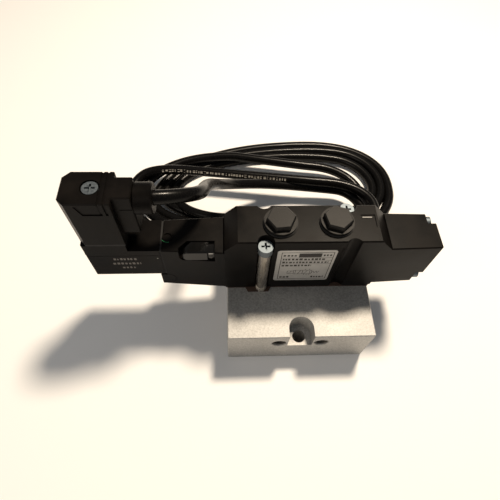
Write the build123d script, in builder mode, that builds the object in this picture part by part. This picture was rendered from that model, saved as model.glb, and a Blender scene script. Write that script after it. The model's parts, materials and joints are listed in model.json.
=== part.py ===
"""Solenoid-piloted 5/2 spool valve on a sub-base, with plug connector and coiled lead.

Frame, in millimetres: X along the valve towards the end cap, Y from the sub-base's front
face to its rear face, Z up. The origin is on the underside of the sub-base, below the
middle of the valve body.
"""
from build123d import *
import math
import os

os.makedirs("parts", exist_ok=True)

# ---------------------------------------------------------------- driving dimensions
# Sub-base
BASE_HALF = 35.2
BASE_FRONT, BASE_REAR = -35.8, 24.2
BASE_TOP = 29.2
SLOT_HALF, SLOT_FLOOR = 6.0, 17.8
FRONT_FIXING_Y, REAR_FIXING_Y = -31.3, 19.7
FIXING_R = 3.2
OUTLET_X, OUTLET_Z = 10.3, 20.8
PORT_R, PORT_MOUTH_R, PORT_DEPTH = 3.5, 3.85, 9.5
SUPPLY_R, SUPPLY_Z = 4.86, 9.0
PASSAGE_R, CROSS_DRILL_R = 2.25, 2.5

# Valve body
GASKET_T = 1.2
BODY_BOTTOM = BASE_TOP + GASKET_T
BODY_HALF, BODY_SIDE, BODY_TOP = 36.0, 9.7, 71.4
SEAM_TOP, TOP_FLAT_HALF = 65.1, 30.3
PORT_PITCH = 12.05
PORTS = [PORT_PITCH * n for n in (-2, -1, 0, 1, 2)]
BORE_Z, BORE_R, PORT_GROOVE_R, PORT_GROOVE_W = 50.0, 5.25, 6.0, 5.0
TOP_PORT_R = 4.86
CLAMP_X, CLAMP_Y = 18.6, 9.5
GROOVE_R, GROOVE_Y = 3.6, 11.3
SLEEVE_R, SEAT_R, SEAT_Z = 2.7, 3.75, 64.2
PILOT_Y, PILOT_Z, PILOT_R = 6.2, 36.5, 0.8

# Spool train
SEAL_X = (-31.0, -23.0, -5.0, 1.0, 19.0, 27.0)
SEAL_R, SEAL_W, SEAL_GROOVE_R = 5.2, 1.8, 3.6
LAND_R, LAND_W, CORE_R = 4.95, 4.2, 2.6
PISTON_R, PISTON_BORE_R = 6.3, 6.5
PISTON_X = (-45.0, -40.2)
CHAMBER_X = -46.0
SPRING_X = (35.0, 54.0)

# End cap
CAP_END, CAP_BOTTOM, CAP_END_BOTTOM, CAP_END_SIDE = 59.4, 33.5, 34.5, 9.1
CAP_SCREWS = ((6.6, 61.5), (-6.6, 38.5))
CAP_SCREW_FACE = 55.3

# Pilot adapter and override
ADAPTER_END, ADAPTER_TOP, ADAPTER_BOTTOM = -63.0, 63.2, 31.4
ADAPTER_LIP, LIP_TOP, LIP_BOTTOM, LIP_SIDE = -66.0, 41.7, 33.0, 8.0
ADAPTER_SCREWS = ((5.7, 58.9), (-5.7, 36.5))
POCKET_X, POCKET_BACK, POCKET_FLOOR = (-55.7, -40.2), -3.2, 56.0
SLIDER_X, SLIDER_TOP = (-54.0, -43.0), 62.7
PIN_Y, PIN_Z, PIN_R = -1.6, 54.2, 0.6
RIM_X, RIM_Y = -60.6, -1.0
MARK_X, MARK_Z = -63.0, 38.3

# Solenoid
COIL_Z = 52.5
HOUSING_X, HOUSING_SIDE, HOUSING_Z = (-95.5, -63.8), 8.0, (42.0, 63.0)
PLATFORM_END, PLATFORM_TOP = -77.0, 67.4
SOLENOID_SCREWS = ((5.8, 44.4), (-5.8, 60.6))
ARMATURE_X, ARMATURE_R, TUBE_R, TUBE_T = (-81.1, -66.4), 2.86, 2.95, 0.4
POLE_X, POLE_Y, EARTH_X = -84.6, 4.0, -90.4
BLADE_W, BLADE_T = 2.8, 0.5

# Plug connector and gland
PLUG_X, PLUG_SIDE, PLUG_BOTTOM, PLUG_TOP = (-95.7, -76.5), 8.0, 68.4, 95.5
NECK_X, NECK_SIDE, NECK_BOTTOM = (-76.5, -69.5), 5.2, 73.6
LID_BOTTOM, LID_PANEL_X = 88.7, (-89.3, -81.2)
LID_GROOVES, LID_GROOVE_DEPTH = ((-81.2, -80.2), (-79.1, -78.1)), 0.5
GLAND_X, GLAND_R, GLAND_Z = (-69.5, -62.3), 6.25, 89.0

# Lead
CABLE_R = 3.0
LEAD_ROUTE = [(-77, 0, 89), (-45, 0, 89), (-45, 33, 58), (-39, 56, 30), (-10, 71, 13), (32, 69, 9.5)]
TAIL_ROUTE = [(36, 40, 3.1), (12, 37, 3.2), (-16, 32, 3.1)]
COIL_CENTRE, COIL_OUTER, COIL_INNER, COIL_HEIGHT = (-9.5, 74.0), (86.0, 41.0), (42.0, 9.0), 17.0
WIRE_R, FERRULE_R = 0.85, 1.1


# ---------------------------------------------------------------- shared shapes
def block(x, y, z, mode=Mode.ADD):
    """Box between two limits on each axis."""
    with Locations(((x[0] + x[1]) / 2, (y[0] + y[1]) / 2, (z[0] + z[1]) / 2)):
        Box(x[1] - x[0], y[1] - y[0], z[1] - z[0], mode=mode)


def bar_x(x, radius, y=0.0, z=0.0, mode=Mode.ADD):
    """Round bar along X."""
    with Locations(Location(((x[0] + x[1]) / 2, y, z), (0, 90, 0))):
        Cylinder(radius, x[1] - x[0], mode=mode)


def bar_y(y, radius, x=0.0, z=0.0, mode=Mode.ADD):
    """Round bar along Y."""
    with Locations(Location((x, (y[0] + y[1]) / 2, z), (90, 0, 0))):
        Cylinder(radius, y[1] - y[0], mode=mode)


def bar_z(z, radius, x=0.0, y=0.0, mode=Mode.ADD):
    """Round bar along Z."""
    with Locations((x, y, (z[0] + z[1]) / 2)):
        Cylinder(radius, z[1] - z[0], mode=mode)


def ring_x(x, outer, inner, y=0.0, z=0.0):
    """Flat or long ring whose axis is along X."""
    bar_x(x, outer, y, z)
    bar_x(x, inner, y, z, Mode.SUBTRACT)


def threaded_port(face, inward, x):
    """Port with a chamfered mouth in the front or rear face, then its drilled passage."""
    bottom = face + inward * PORT_DEPTH
    bar_y(sorted((face, bottom)), PORT_R, x, OUTLET_Z, Mode.SUBTRACT)
    mouth = PORT_MOUTH_R - PORT_R
    with Locations(Location((x, face + inward * mouth / 2, OUTLET_Z), (90 * inward, 0, 0))):
        Cone(PORT_R, PORT_MOUTH_R, mouth, mode=Mode.SUBTRACT)
    bar_y(sorted((bottom, inward * 1.5)), CROSS_DRILL_R, x, OUTLET_Z, Mode.SUBTRACT)


def tube(route, radius, name):
    """Round tube along straight runs joined by arcs as large as the runs allow."""
    points = [Vector(*point) for point in route]
    runs = [b - a for a, b in zip(points, points[1:])]
    radii = []
    for before, after in zip(runs, runs[1:]):
        half_turn = math.radians(before.get_angle(after)) / 2
        radii.append(0.45 * min(before.length, after.length) / math.tan(half_turn))
    print(name, "radii", [round(r, 1) for r in radii], "runs", [round(r.length, 1) for r in runs])
    with BuildLine() as path:
        FilletPolyline(*points, radius=radii)
    with BuildSketch(Plane(origin=path.line @ 0, z_dir=path.line % 0)) as section:
        Circle(radius)
    sweep(section.sketch, path=path.line)
    return path.wire().length


# ---------------------------------------------------------------- sub-base
with BuildPart() as sub_base:
    block((-BASE_HALF, BASE_HALF), (BASE_FRONT, BASE_REAR), (0, BASE_TOP))
    chamfer(sub_base.edges(), 0.4)
    for side, centre in ((-1, FRONT_FIXING_Y), (1, REAR_FIXING_Y)):
        bar_z((SLOT_FLOOR, BASE_TOP), SLOT_HALF, 0, centre, Mode.SUBTRACT)
        open_side = sorted((centre, centre + side * 2 * SLOT_HALF))
        block((-SLOT_HALF, SLOT_HALF), open_side, (SLOT_FLOOR, BASE_TOP), Mode.SUBTRACT)
        bar_z((0, SLOT_FLOOR), FIXING_R, 0, centre, Mode.SUBTRACT)
    for x in (-OUTLET_X, OUTLET_X):
        threaded_port(BASE_FRONT, 1, x)
    for x in (PORTS[0], PORTS[4]):
        threaded_port(BASE_REAR, -1, x)
    for x in (PORTS[0], PORTS[1], PORTS[3], PORTS[4]):
        bar_z((OUTLET_Z, BASE_TOP), PASSAGE_R, x, 0, Mode.SUBTRACT)
    bar_z((SUPPLY_Z, BASE_TOP), PASSAGE_R, PORTS[2], 0, Mode.SUBTRACT)
    bar_x((-BASE_HALF, -BASE_HALF + 10), SUPPLY_R, 0, SUPPLY_Z, Mode.SUBTRACT)
    bar_x((-BASE_HALF, 3), 3.0, 0, SUPPLY_Z, Mode.SUBTRACT)
    for side in (-1, 1):
        bar_z((BASE_TOP - 13, BASE_TOP), 1.95, side * CLAMP_X, side * CLAMP_Y, Mode.SUBTRACT)
sub_base.part.label = "sub_base"
export_step(sub_base.part, "parts/sub_base.step")

# ---------------------------------------------------------------- base gasket
with BuildPart() as base_gasket:
    block((-BASE_HALF, BASE_HALF), (-BODY_SIDE + 0.2, BODY_SIDE - 0.2), (BASE_TOP, BODY_BOTTOM))
    for side in (-1, 1):
        with BuildSketch(Plane.XY.offset(BASE_TOP)):
            with BuildLine():
                Polyline(
                    (side * 26.5, side * 9.0),
                    (side * 24.9, side * 11.9),
                    (side * 15.0, side * 11.9),
                    (side * 13.2, side * 9.0),
                    close=True,
                )
            make_face()
        extrude(amount=GASKET_T)
        bar_z((BASE_TOP, BODY_BOTTOM), SLEEVE_R + 0.05, side * CLAMP_X, side * CLAMP_Y, Mode.SUBTRACT)
    for x in PORTS:
        bar_z((BASE_TOP, BODY_BOTTOM), PASSAGE_R, x, 0, Mode.SUBTRACT)
base_gasket.part.label = "base_gasket"
export_step(base_gasket.part, "parts/base_gasket.step")

# ---------------------------------------------------------------- valve body
with BuildPart() as valve_body:
    with BuildSketch(Plane.XZ):
        with BuildLine():
            Polyline(
                (-BODY_HALF, BODY_BOTTOM),
                (-BODY_HALF, SEAM_TOP),
                (-TOP_FLAT_HALF, BODY_TOP),
                (TOP_FLAT_HALF, BODY_TOP),
                (BODY_HALF, SEAM_TOP),
                (BODY_HALF, BODY_BOTTOM + 1.5),
                (BODY_HALF - 1.5, BODY_BOTTOM),
                close=True,
            )
        make_face()
    extrude(amount=BODY_SIDE, both=True)
    chamfer(valve_body.edges().group_by(Axis.Z)[-1].filter_by(Axis.X), 0.5)
    for side_x in (-1, 1):
        for side_y in (-1, 1):
            groove_y = side_y * GROOVE_Y
            bar_z((BODY_BOTTOM, BODY_TOP), GROOVE_R, side_x * CLAMP_X, groove_y, Mode.SUBTRACT)
    for side in (-1, 1):
        bar_z((BODY_BOTTOM, SEAT_Z), SLEEVE_R + 0.05, side * CLAMP_X, side * CLAMP_Y, Mode.SUBTRACT)
        bar_z((SEAT_Z, BODY_TOP), SEAT_R, side * CLAMP_X, side * CLAMP_Y, Mode.SUBTRACT)
    bar_x((-BODY_HALF, BODY_HALF), BORE_R, 0, BORE_Z, Mode.SUBTRACT)
    for x in PORTS:
        bar_x((x - PORT_GROOVE_W / 2, x + PORT_GROOVE_W / 2), PORT_GROOVE_R, 0, BORE_Z, Mode.SUBTRACT)
        bar_z((BODY_BOTTOM, BORE_Z - 3), PASSAGE_R, x, 0, Mode.SUBTRACT)
    for x in (PORTS[1], PORTS[3]):
        bar_z((BODY_TOP - 11, BODY_TOP), TOP_PORT_R, x, 0, Mode.SUBTRACT)
        bar_z((BORE_Z + 3, BODY_TOP - 11), PASSAGE_R, x, 0, Mode.SUBTRACT)
    bar_x((-BODY_HALF, 1), PILOT_R, PILOT_Y, PILOT_Z, Mode.SUBTRACT)
    block((-1, 1), (0, PILOT_Y + 0.5), (PILOT_Z - PILOT_R, PILOT_Z + PILOT_R), Mode.SUBTRACT)
    with BuildSketch(Plane.XZ.offset(BODY_SIDE)):
        with Locations((-0.15, 51.25)):
            RectangleRounded(26.2, 28.0, 1.6)
    extrude(amount=-0.4, mode=Mode.SUBTRACT)
    block((23.0, 29.3), (-2.1, 4.3), (BODY_TOP - 0.5, BODY_TOP), Mode.SUBTRACT)
    block((14.7, 15.05), (-BODY_SIDE - 0.25, -BODY_SIDE + 0.2), (37.0, 66.0))
    for y, z in CAP_SCREWS:
        bar_x((27, BODY_HALF), 1.55, y, z, Mode.SUBTRACT)
    for y, z in ADAPTER_SCREWS:
        bar_x((-BODY_HALF, -27), 1.3, y, z, Mode.SUBTRACT)
valve_body.part.label = "valve_body"
export_step(valve_body.part, "parts/valve_body.step")

# ---------------------------------------------------------------- label plate
with BuildPart() as label_plate:
    with BuildSketch(Plane.XZ.offset(BODY_SIDE - 0.4)):
        with Locations((-0.15, 51.25)):
            RectangleRounded(26.0, 27.8, 1.5)
    extrude(amount=0.5)
label_plate.part.label = "label_plate"
export_step(label_plate.part, "parts/label_plate.step")

# ---------------------------------------------------------------- clamp screws and sleeves
with BuildPart() as clamp_sleeves:
    for side in (-1, 1):
        bar_z((BASE_TOP, SEAT_Z), SLEEVE_R, side * CLAMP_X, side * CLAMP_Y)
        bar_z((BASE_TOP, SEAT_Z), 2.05, side * CLAMP_X, side * CLAMP_Y, Mode.SUBTRACT)
clamp_sleeves.part.label = "clamp_sleeves"
export_step(clamp_sleeves.part, "parts/clamp_sleeves.step")

HEAD_TOP = 68.4
with BuildPart() as clamp_screws:
    for side in (-1, 1):
        bar_z((BASE_TOP - 11, SEAT_Z), 1.9, side * CLAMP_X, side * CLAMP_Y)
        bar_z((SEAT_Z, HEAD_TOP), 3.2, side * CLAMP_X, side * CLAMP_Y)
        for across in ((1.9, 0.45), (0.45, 1.9)):
            span_x = (side * CLAMP_X - across[0], side * CLAMP_X + across[0])
            span_y = (side * CLAMP_Y - across[1], side * CLAMP_Y + across[1])
            block(span_x, span_y, (HEAD_TOP - 1.8, HEAD_TOP), Mode.SUBTRACT)
clamp_screws.part.label = "clamp_screws"
export_step(clamp_screws.part, "parts/clamp_screws.step")

# ---------------------------------------------------------------- port plugs and seals
SEAL_TOP = BODY_TOP + 0.8
FLANGE_TOP = SEAL_TOP + 1.3
HEX_HEIGHT = 2.6
with BuildPart() as plug_seals:
    for x in (PORTS[1], PORTS[3]):
        bar_z((BODY_TOP, SEAL_TOP), 7.5, x, 0)
        bar_z((BODY_TOP, SEAL_TOP), 4.9, x, 0, Mode.SUBTRACT)
plug_seals.part.label = "plug_seals"
export_step(plug_seals.part, "parts/plug_seals.step")

with BuildPart() as port_plugs:
    for x, turn in ((PORTS[1], 5), (PORTS[3], 42)):
        bar_z((BODY_TOP - 7, SEAL_TOP), 4.8, x, 0)
        bar_z((SEAL_TOP, FLANGE_TOP), 7.1, x, 0)
        with BuildSketch(Plane.XY.offset(FLANGE_TOP)):
            with Locations((x, 0)):
                RegularPolygon(5.5, 6, major_radius=False, rotation=turn)
        extrude(amount=HEX_HEIGHT)
    chamfer(port_plugs.edges().group_by(Axis.Z)[-1], 0.5)
port_plugs.part.label = "port_plugs"
export_step(port_plugs.part, "parts/port_plugs.step")

# ---------------------------------------------------------------- spool, its seals and piston
with BuildPart() as spool:
    bar_x((PISTON_X[1], 34.0), CORE_R, 0, BORE_Z)
    bar_x((PISTON_X[1], -34.0), 4.0, 0, BORE_Z)
    bar_x((33.0, SPRING_X[0]), 4.6, 0, BORE_Z)
    bar_x((SPRING_X[0], 43.0), 2.5, 0, BORE_Z)
    for x in SEAL_X:
        bar_x((x - LAND_W / 2, x + LAND_W / 2), LAND_R, 0, BORE_Z)
    for x in SEAL_X:
        bar_x((x - SEAL_W / 2, x + SEAL_W / 2), 6.0, 0, BORE_Z, Mode.SUBTRACT)
        bar_x((x - SEAL_W / 2, x + SEAL_W / 2), SEAL_GROOVE_R, 0, BORE_Z)
spool.part.label = "spool"
export_step(spool.part, "parts/spool.step")

with BuildPart() as spool_seals:
    for x in SEAL_X:
        ring_x((x - SEAL_W / 2, x + SEAL_W / 2), SEAL_R, SEAL_GROOVE_R, 0, BORE_Z)
    chamfer(spool_seals.edges().filter_by(GeomType.CIRCLE).filter_by(lambda e: e.radius > SEAL_R - 0.1), 0.4)
spool_seals.part.label = "spool_seals"
export_step(spool_seals.part, "parts/spool_seals.step")

with BuildPart() as pilot_piston:
    bar_x(PISTON_X, PISTON_R, 0, BORE_Z)
    bar_x((CHAMBER_X, PISTON_X[0]), 2.0, 0, BORE_Z)
    ring_mid = (PISTON_X[0] + PISTON_X[1]) / 2
    bar_x((ring_mid - 0.9, ring_mid + 0.9), 7.0, 0, BORE_Z, Mode.SUBTRACT)
    bar_x((ring_mid - 0.9, ring_mid + 0.9), 4.7, 0, BORE_Z)
pilot_piston.part.label = "pilot_piston"
export_step(pilot_piston.part, "parts/pilot_piston.step")

with BuildPart() as piston_seal:
    ring_x((ring_mid - 0.9, ring_mid + 0.9), 6.45, 4.7, 0, BORE_Z)
piston_seal.part.label = "piston_seal"
export_step(piston_seal.part, "parts/piston_seal.step")


def spring_along_x(x, mean_radius, wire_radius, pitch, z):
    """Round-wire compression spring whose axis is along X."""
    start = x[0] + wire_radius
    wound = x[1] - x[0] - 2 * wire_radius
    coil = Helix(pitch, wound, mean_radius, center=(start, 0, z), direction=(1, 0, 0), mode=Mode.PRIVATE)
    with BuildSketch(Plane(origin=coil @ 0, z_dir=coil % 0)) as section:
        Circle(wire_radius)
    sweep(section.sketch, path=coil, is_frenet=True)


with BuildPart() as return_spring:
    spring_along_x(SPRING_X, 3.7, 0.45, 2.6, BORE_Z)
return_spring.part.label = "return_spring"
export_step(return_spring.part, "parts/return_spring.step")

# ---------------------------------------------------------------- end cap
with BuildPart() as end_cap:
    with BuildSketch(Plane.XZ):
        with BuildLine():
            Polyline(
                (BODY_HALF, CAP_BOTTOM),
                (BODY_HALF, SEAM_TOP),
                (CAP_END, SEAM_TOP),
                (CAP_END, CAP_END_BOTTOM),
                close=True,
            )
        make_face()
    extrude(amount=12, both=True)
    with BuildSketch(Plane.XY):
        with BuildLine():
            Polyline(
                (BODY_HALF, -BODY_SIDE),
                (CAP_END, -CAP_END_SIDE),
                (CAP_END, CAP_END_SIDE),
                (BODY_HALF, BODY_SIDE),
                close=True,
            )
        make_face()
    extrude(amount=BODY_TOP, mode=Mode.INTERSECT)
    chamfer(end_cap.edges().group_by(Axis.Z)[-1], 0.5)
    chamfer(end_cap.edges().group_by(Axis.X)[-1].filter_by(Axis.Z), 0.6)
    for (y, z), across in zip(CAP_SCREWS, (1, -1)):
        side_y = sorted((across * 3.7, across * 12))
        side_z = (z - 4.0, BODY_TOP) if across > 0 else (CAP_BOTTOM - 1, z + 4.0)
        block((CAP_SCREW_FACE, CAP_END), side_y, side_z, Mode.SUBTRACT)
        bar_x((BODY_HALF, CAP_SCREW_FACE), 1.6, y, z, Mode.SUBTRACT)
    bar_x((BODY_HALF, SPRING_X[1]), 5.2, 0, BORE_Z, Mode.SUBTRACT)
    bar_x((BODY_HALF, BODY_HALF + 0.6), 7.5, 0, BORE_Z, Mode.SUBTRACT)
end_cap.part.label = "end_cap"
export_step(end_cap.part, "parts/end_cap.step")

with BuildPart() as end_cap_gasket:
    ring_x((BODY_HALF, BODY_HALF + 0.6), 7.45, 5.3, 0, BORE_Z)
end_cap_gasket.part.label = "end_cap_gasket"
export_step(end_cap_gasket.part, "parts/end_cap_gasket.step")

with BuildPart() as end_cap_screws:
    for y, z in CAP_SCREWS:
        bar_x((CAP_SCREW_FACE, CAP_SCREW_FACE + 2.4), 2.75, y, z)
        bar_x((28.5, CAP_SCREW_FACE), 1.5, y, z)
        block((CAP_SCREW_FACE + 1.3, CAP_SCREW_FACE + 3), (y - 1.7, y + 1.7), (z - 0.4, z + 0.4), Mode.SUBTRACT)
        block((CAP_SCREW_FACE + 1.3, CAP_SCREW_FACE + 3), (y - 0.4, y + 0.4), (z - 1.7, z + 1.7), Mode.SUBTRACT)
end_cap_screws.part.label = "end_cap_screws"
export_step(end_cap_screws.part, "parts/end_cap_screws.step")

# ---------------------------------------------------------------- pilot adapter
def override_shape(x, back, floor, front, top):
    """Block with its inner left corner cut across and its left foot rounded."""
    cut = 3.5
    with BuildSketch(Plane.XY.offset(floor)) as outline:
        with BuildLine():
            Polyline((x[0], front), (x[0], back - cut), (x[0] + cut, back), (x[1], back), (x[1], front), close=True)
        make_face()
    extrude(outline.sketch, amount=top - floor)


with BuildPart() as override_pocket:
    override_shape(POCKET_X, POCKET_BACK, POCKET_FLOOR, -12, BODY_TOP)
    fillet(override_pocket.edges().filter_by(Axis.Y).group_by(Axis.Z)[0].sort_by(Axis.X)[0], 2.4)

with BuildPart() as pilot_adapter:
    with BuildSketch(Plane.XZ):
        with BuildLine():
            Polyline(
                (-BODY_HALF, ADAPTER_BOTTOM),
                (-BODY_HALF, ADAPTER_TOP),
                (ADAPTER_END, ADAPTER_TOP),
                (ADAPTER_END, LIP_TOP),
                (ADAPTER_LIP, LIP_TOP),
                (ADAPTER_LIP, LIP_BOTTOM),
                close=True,
            )
        make_face()
    extrude(amount=12, both=True)
    with BuildSketch(Plane.XY):
        with BuildLine():
            Polyline(
                (-BODY_HALF, -BODY_SIDE),
                (ADAPTER_LIP, -LIP_SIDE),
                (ADAPTER_LIP, LIP_SIDE),
                (-BODY_HALF, BODY_SIDE),
                close=True,
            )
        make_face()
    extrude(amount=BODY_TOP, mode=Mode.INTERSECT)
    chamfer(pilot_adapter.edges().group_by(Axis.Z)[-1], 0.5)
    add(override_pocket.part, mode=Mode.SUBTRACT)
    block((-55.3, -50.2), (POCKET_BACK - 1.7, -0.8), (53.4, POCKET_FLOOR + 4), Mode.SUBTRACT)
    bar_x((CHAMBER_X, -BODY_HALF), PISTON_BORE_R, 0, BORE_Z, Mode.SUBTRACT)
    bar_x((-BODY_HALF - 0.6, -BODY_HALF), 8.5, 0, BORE_Z, Mode.SUBTRACT)
    bar_x((-60.2, CHAMBER_X), 0.6, 0, COIL_Z, Mode.SUBTRACT)
    bar_x((ADAPTER_END, -60.2), 1.5, 0, COIL_Z, Mode.SUBTRACT)
    bar_x((ADAPTER_END, -55.3), PIN_R + 0.1, PIN_Y, PIN_Z, Mode.SUBTRACT)
    bar_x((-57.5, -BODY_HALF), PILOT_R, PILOT_Y, PILOT_Z, Mode.SUBTRACT)
    bar_z((PILOT_Z, 49.5), PILOT_R, -57.5, PILOT_Y, Mode.SUBTRACT)
    bar_x((ADAPTER_END, -57.5), PILOT_R, PILOT_Y, 49.5, Mode.SUBTRACT)
    for y, z in ADAPTER_SCREWS:
        bar_x((ADAPTER_LIP, -48), 2.3, y, z, Mode.SUBTRACT)
        bar_x((-48, -BODY_HALF), 1.3, y, z, Mode.SUBTRACT)
    for y, z in SOLENOID_SCREWS:
        bar_x((ADAPTER_END, -58.6), 1.25, y, z, Mode.SUBTRACT)
    bar_z((ADAPTER_TOP, ADAPTER_TOP + 0.35), 2.3, RIM_X, RIM_Y)
    bar_z((ADAPTER_TOP - 0.3, ADAPTER_TOP + 0.35), 1.8, RIM_X, RIM_Y, Mode.SUBTRACT)
    with BuildSketch(Plane.XZ.offset(LIP_SIDE + 2)):
        with Locations((MARK_X, MARK_Z)):
            Circle(4.0)
            Circle(3.75, mode=Mode.SUBTRACT)
    extrude(amount=-1.98, mode=Mode.SUBTRACT)
pilot_adapter.part.label = "pilot_adapter"
export_step(pilot_adapter.part, "parts/pilot_adapter.step")

with BuildPart() as adapter_gasket:
    ring_x((-BODY_HALF - 0.6, -BODY_HALF), 8.4, 6.6, 0, BORE_Z)
adapter_gasket.part.label = "adapter_gasket"
export_step(adapter_gasket.part, "parts/adapter_gasket.step")

with BuildPart() as adapter_screws:
    for y, z in ADAPTER_SCREWS:
        bar_x((-50.4, -48), 2.2, y, z)
        bar_x((-48, -28.5), 1.25, y, z)
adapter_screws.part.label = "adapter_screws"
export_step(adapter_screws.part, "parts/adapter_screws.step")

# ---------------------------------------------------------------- manual override
SLIDER_FOOT, SLIDER_BACK = POCKET_FLOOR + 0.2, POCKET_BACK - 0.3
with BuildPart() as override_slider:
    override_shape(SLIDER_X, SLIDER_BACK, SLIDER_FOOT, -9.0, SLIDER_TOP)
    fillet(override_slider.edges().filter_by(Axis.Y).sort_by(Axis.X)[0:2], 2.2)
    fillet(override_slider.edges().group_by(Axis.Y)[0], 0.5)
    block((SLIDER_X[1], POCKET_X[1] - 0.2), (-8.4, SLIDER_BACK), (SLIDER_FOOT, SLIDER_TOP - 1.0))
    block((-53.4, -50.6), (POCKET_BACK - 1.5, -1.0), (53.6, POCKET_FLOOR + 3))
override_slider.part.label = "override_slider"
export_step(override_slider.part, "parts/override_slider.step")

with BuildPart() as override_pin:
    bar_x((-64.8, -53.4), PIN_R, PIN_Y, PIN_Z)
override_pin.part.label = "override_pin"
export_step(override_pin.part, "parts/override_pin.step")

# ---------------------------------------------------------------- solenoid
with BuildPart() as solenoid_gasket:
    block((HOUSING_X[1], ADAPTER_END), (-HOUSING_SIDE + 0.3, HOUSING_SIDE - 0.3), (42.3, 62.7))
    bar_x((HOUSING_X[1], ADAPTER_END), 4.2, 0, COIL_Z, Mode.SUBTRACT)
    bar_x((HOUSING_X[1], ADAPTER_END), PILOT_R, PILOT_Y, 49.5, Mode.SUBTRACT)
    for y, z in SOLENOID_SCREWS:
        bar_x((HOUSING_X[1], ADAPTER_END), 1.3, y, z, Mode.SUBTRACT)
solenoid_gasket.part.label = "solenoid_gasket"
export_step(solenoid_gasket.part, "parts/solenoid_gasket.step")

with BuildPart() as pilot_seat:
    bar_x((-66.25, -64.0), 1.0, 0, COIL_Z)
    bar_x((-64.0, -60.2), 1.45, 0, COIL_Z)
    bar_x((-66.25, -60.2), 0.5, 0, COIL_Z, Mode.SUBTRACT)
pilot_seat.part.label = "pilot_seat"
export_step(pilot_seat.part, "parts/pilot_seat.step")

CAVITY_X, CAVITY_R, SCREW_SEAT_X = (-94.0, HOUSING_X[1]), 6.9, -94.1
YOKE_HALF, YOKE_SIDE = 8.4, 4.0
with BuildPart() as solenoid_housing:
    block(HOUSING_X, (-HOUSING_SIDE, HOUSING_SIDE), HOUSING_Z)
    block((HOUSING_X[0], PLATFORM_END), (-HOUSING_SIDE, HOUSING_SIDE), (HOUSING_Z[1], PLATFORM_TOP))
    fillet(solenoid_housing.edges().filter_by(Axis.Z).sort_by(Axis.X)[0:2], 0.8)
    chamfer(solenoid_housing.edges().filter_by(Axis.X).group_by(Axis.Z)[0], 0.6)
    bar_x(CAVITY_X, CAVITY_R, 0, COIL_Z, Mode.SUBTRACT)
    cavity_z = (COIL_Z - YOKE_HALF - 0.1, COIL_Z + YOKE_HALF + 0.1)
    block(CAVITY_X, (-YOKE_SIDE - 0.1, YOKE_SIDE + 0.1), cavity_z, Mode.SUBTRACT)
    for side in (-1, 1):
        seam_y = sorted((side * (HOUSING_SIDE - 0.15), side * (HOUSING_SIDE + 1)))
        block(HOUSING_X, seam_y, (59.0, 59.25), Mode.SUBTRACT)
    for y, z in SOLENOID_SCREWS:
        bar_x(HOUSING_X, 1.3, y, z, Mode.SUBTRACT)
        bar_x((HOUSING_X[0], SCREW_SEAT_X), 2.05, y, z, Mode.SUBTRACT)
    bar_z((62.2, PLATFORM_TOP), 2.4, POLE_X, 0, Mode.SUBTRACT)
    for y in (-POLE_Y, POLE_Y):
        pole_x = (POLE_X - BLADE_W / 2, POLE_X + BLADE_W / 2)
        block(pole_x, (y - BLADE_T / 2, y + BLADE_T / 2), (62.0, PLATFORM_TOP), Mode.SUBTRACT)
    earth_x = (EARTH_X - BLADE_T / 2, EARTH_X + BLADE_T / 2)
    block(earth_x, (-BLADE_W / 2, BLADE_W / 2), (62.0, PLATFORM_TOP), Mode.SUBTRACT)
solenoid_housing.part.label = "solenoid_housing"
export_step(solenoid_housing.part, "parts/solenoid_housing.step")

with BuildPart() as bobbin:
    bar_x((-92.0, -68.0), 4.1, 0, COIL_Z)
    bar_x((-92.0, -91.0), 6.7, 0, COIL_Z)
    bar_x((-69.0, -68.0), 6.7, 0, COIL_Z)
    bar_x((-92.0, -68.0), 3.5, 0, COIL_Z, Mode.SUBTRACT)
bobbin.part.label = "bobbin"
export_step(bobbin.part, "parts/bobbin.step")

with BuildPart() as coil_winding:
    ring_x((-91.0, -69.0), 6.4, 4.15, 0, COIL_Z)
coil_winding.part.label = "coil_winding"
export_step(coil_winding.part, "parts/coil_winding.step")

with BuildPart() as yoke:
    block((-93.9, -66.5), (-YOKE_SIDE, YOKE_SIDE), (COIL_Z - YOKE_HALF, COIL_Z + YOKE_HALF))
    block((-92.3, -67.7), (-YOKE_SIDE, YOKE_SIDE), (COIL_Z - 7.0, COIL_Z + 7.0), Mode.SUBTRACT)
    bar_x((-67.7, -66.5), 3.45, 0, COIL_Z, Mode.SUBTRACT)
yoke.part.label = "yoke"
export_step(yoke.part, "parts/yoke.step")

with BuildPart() as core_tube:
    ring_x((-92.2, -64.2), TUBE_R + TUBE_T, TUBE_R, 0, COIL_Z)
    ring_x((-65.6, -64.2), 5.6, TUBE_R, 0, COIL_Z)
core_tube.part.label = "core_tube"
export_step(core_tube.part, "parts/core_tube.step")

with BuildPart() as fixed_core:
    bar_x((-92.2, -82.0), 2.9, 0, COIL_Z)
fixed_core.part.label = "fixed_core"
export_step(fixed_core.part, "parts/fixed_core.step")

with BuildPart() as armature:
    bar_x(ARMATURE_X, ARMATURE_R, 0, COIL_Z)
    bar_x((ARMATURE_X[0], -77.0), 1.7, 0, COIL_Z, Mode.SUBTRACT)
    bar_x((-67.8, ARMATURE_X[1]), 1.7, 0, COIL_Z, Mode.SUBTRACT)
armature.part.label = "armature"
export_step(armature.part, "parts/armature.step")

with BuildPart() as armature_seal:
    bar_x((-67.8, -66.3), 1.65, 0, COIL_Z)
armature_seal.part.label = "armature_seal"
export_step(armature_seal.part, "parts/armature_seal.step")

with BuildPart() as armature_spring:
    spring_along_x((-82.0, -77.0), 1.2, 0.2, 0.9, COIL_Z)
armature_spring.part.label = "armature_spring"
export_step(armature_spring.part, "parts/armature_spring.step")

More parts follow.
